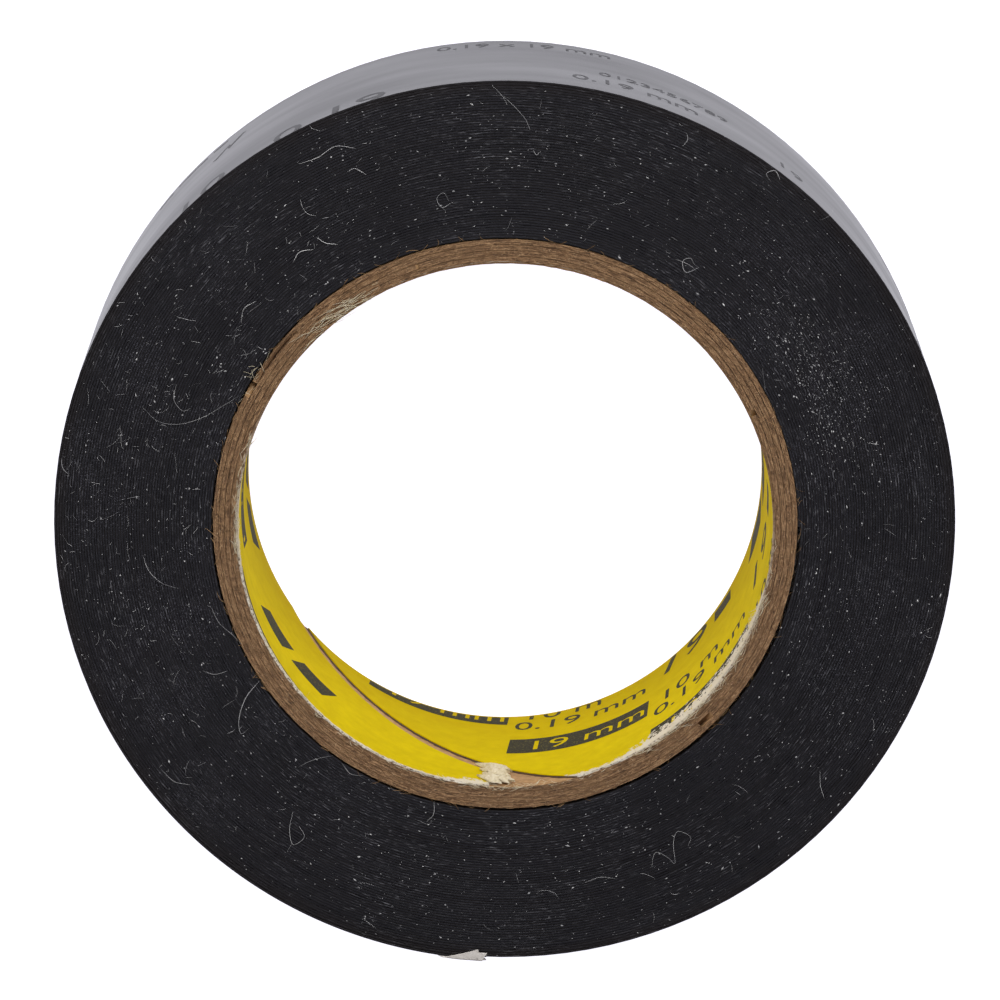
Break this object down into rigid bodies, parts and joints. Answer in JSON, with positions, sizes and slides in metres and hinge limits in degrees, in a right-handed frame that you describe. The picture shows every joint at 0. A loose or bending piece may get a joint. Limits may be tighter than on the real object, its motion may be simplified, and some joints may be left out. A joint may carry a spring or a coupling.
{
  "type": "electrical tape roll",
  "caption": "Part-used roll of black vinyl electrical tape on a spiral-wound paperboard core with a yellow printed liner and a peelable free end with a white paper tab.",
  "frame": {"origin": "on the core's axis, in the side face that the roll lies on", "axes": "+Z is the roll's axis, up out of the side that faces the viewer; the tape is wound counter-clockwise seen from +Z"},
  "size_m": [0.0641, 0.0644, 0.0196],
  "materials": {
    "vinyl_film": "satin",
    "rubber_adhesive": "matte",
    "liner_paper": "satin",
    "kraft_board": "matte",
    "tab_paper": "matte"
  },
  "bodies": {
    "roll": {"core_liner": "liner_paper", "core_ply_1": "kraft_board", "core_ply_2": "kraft_board", "core_ply_3": "kraft_board", "core_ply_4": "kraft_board", "coil_inner_laps": "vinyl_film", "coil_outer_adhesive": "rubber_adhesive", "coil_outer_film": "vinyl_film"},
    "tail_1": {"tail_adhesive_1": "rubber_adhesive", "tail_film_1": "vinyl_film"},
    "tail_2": {"tail_adhesive_2": "rubber_adhesive", "tail_film_2": "vinyl_film"},
    "tail_3": {"tail_adhesive_3": "rubber_adhesive", "tail_film_3": "vinyl_film"},
    "tail_4": {"tail_adhesive_4": "rubber_adhesive", "tail_film_4": "vinyl_film"},
    "tail_5": {"tail_adhesive_5": "rubber_adhesive", "tail_film_5": "vinyl_film"},
    "tail_6": {"tail_adhesive_6": "rubber_adhesive", "tail_film_6": "vinyl_film", "starter_tab": "tab_paper"}
  },
  "joints": [
    {"name": "peel_1", "type": "hinge", "parent": "roll", "child": "tail_1", "pos_m": [-0.02888, -0.01411, 0.0095], "axis": [0, 0, -1], "range_deg": [0, 30]},
    {"name": "peel_2", "type": "hinge", "parent": "tail_1", "child": "tail_2", "pos_m": [-0.02663, -0.018, 0.0095], "axis": [0, 0, -1], "range_deg": [0, 30]},
    {"name": "peel_3", "type": "hinge", "parent": "tail_2", "child": "tail_3", "pos_m": [-0.02387, -0.02153, 0.0095], "axis": [0, 0, -1], "range_deg": [0, 30]},
    {"name": "peel_4", "type": "hinge", "parent": "tail_3", "child": "tail_4", "pos_m": [-0.02064, -0.02465, 0.0095], "axis": [0, 0, -1], "range_deg": [0, 30]},
    {"name": "peel_5", "type": "hinge", "parent": "tail_4", "child": "tail_5", "pos_m": [-0.01701, -0.02729, 0.0095], "axis": [0, 0, -1], "range_deg": [0, 30]},
    {"name": "peel_6", "type": "hinge", "parent": "tail_5", "child": "tail_6", "pos_m": [-0.01304, -0.0294, 0.0095], "axis": [0, 0, -1], "range_deg": [0, 30]}
  ],
  "couplings": [
    {"joint": "peel_2", "follows": "peel_1", "ratio": 1},
    {"joint": "peel_3", "follows": "peel_1", "ratio": 1},
    {"joint": "peel_4", "follows": "peel_1", "ratio": 1},
    {"joint": "peel_5", "follows": "peel_1", "ratio": 1},
    {"joint": "peel_6", "follows": "peel_1", "ratio": 1}
  ]
}
